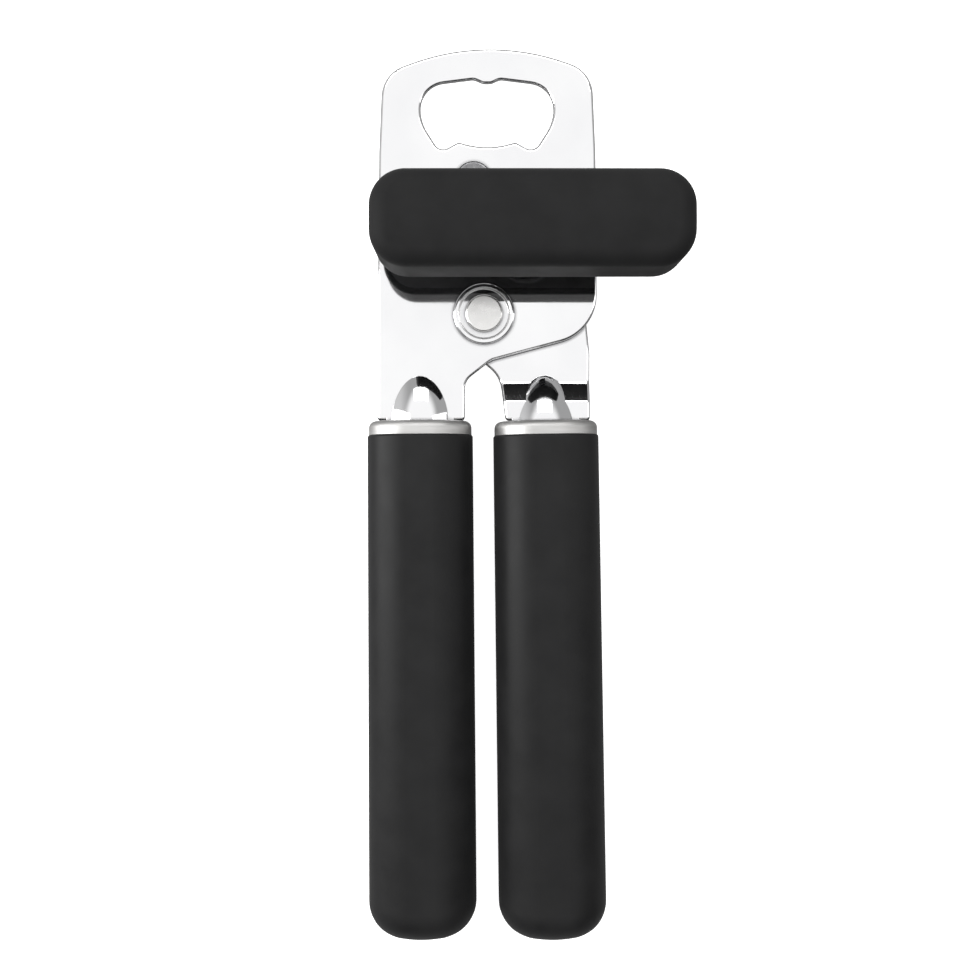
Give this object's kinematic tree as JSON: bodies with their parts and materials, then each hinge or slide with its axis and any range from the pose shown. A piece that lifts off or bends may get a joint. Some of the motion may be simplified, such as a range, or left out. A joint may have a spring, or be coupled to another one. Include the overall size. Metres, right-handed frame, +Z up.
{
  "type": "manual can opener",
  "caption": "Butterfly can opener: two riveted steel plates with black oval handles, a crown-cap window and a bar-shaped turning knob that drives a feed wheel and a cutting wheel.",
  "frame": {"origin": "centre of the closed opener's footprint, on the surface that it lies on", "axes": "+Y from the handles' ends towards the crown-cap window, +Z up, out of the knob's top, +X towards the lever handle; the opener lies on the backs of its handles"},
  "size_m": [0.0734, 0.211, 0.0367],
  "materials": {
    "polished_steel": "mirror polished stainless steel",
    "satin_steel": "satin brushed stainless steel",
    "plain_steel": "plain turned steel",
    "hardened_steel": "ground hardened steel",
    "soft_touch_plastic": "soft-touch matte black",
    "black_plastic": "plain moulded black"
  },
  "bodies": {
    "head": {"head_plate": "polished_steel", "pivot_ring": "polished_steel", "pivot_rivet": "satin_steel", "pivot_shim": "plain_steel", "pivot_spring_washer": "plain_steel", "guide_rivet": "satin_steel", "drive_bushing": "plain_steel", "left_core": "black_plastic", "left_tang_pin": "plain_steel", "left_grip": "soft_touch_plastic", "left_collar": "satin_steel"},
    "lever": {"lever_plate": "polished_steel", "cutter_axle": "plain_steel", "right_core": "black_plastic", "right_tang_pin": "plain_steel", "right_grip": "soft_touch_plastic", "right_collar": "satin_steel"},
    "knob_and_feed": {"drive_shaft": "plain_steel", "drive_gear": "hardened_steel", "gear_thrust_washer": "plain_steel", "feed_wheel": "hardened_steel", "knob_shell": "soft_touch_plastic", "knob_base": "black_plastic", "knob_insert": "plain_steel", "knob_washer": "plain_steel"},
    "cutter": {"cutting_wheel": "hardened_steel", "cutter_gear": "hardened_steel", "cutter_thrust_washer": "plain_steel", "cutter_spring_washer": "plain_steel"}
  },
  "joints": [
    {"name": "handle_open", "type": "hinge", "parent": "head", "child": "lever", "pos_m": [-0.00906, 0.04227, 0.0097], "axis": [0, 0, 1], "range_deg": [0, 24]},
    {"name": "knob_spin", "type": "hinge", "parent": "head", "child": "knob_and_feed", "pos_m": [0.00134, 0.05947, 0.0097], "axis": [0, 0, 1], "continuous": true},
    {"name": "cutter_spin", "type": "hinge", "parent": "lever", "child": "cutter", "pos_m": [-0.01666, 0.05947, 0.0097], "axis": [0, 0, 1], "continuous": true}
  ],
  "couplings": [
    {"joint": "cutter_spin", "follows": "knob_spin", "ratio": -1}
  ]
}
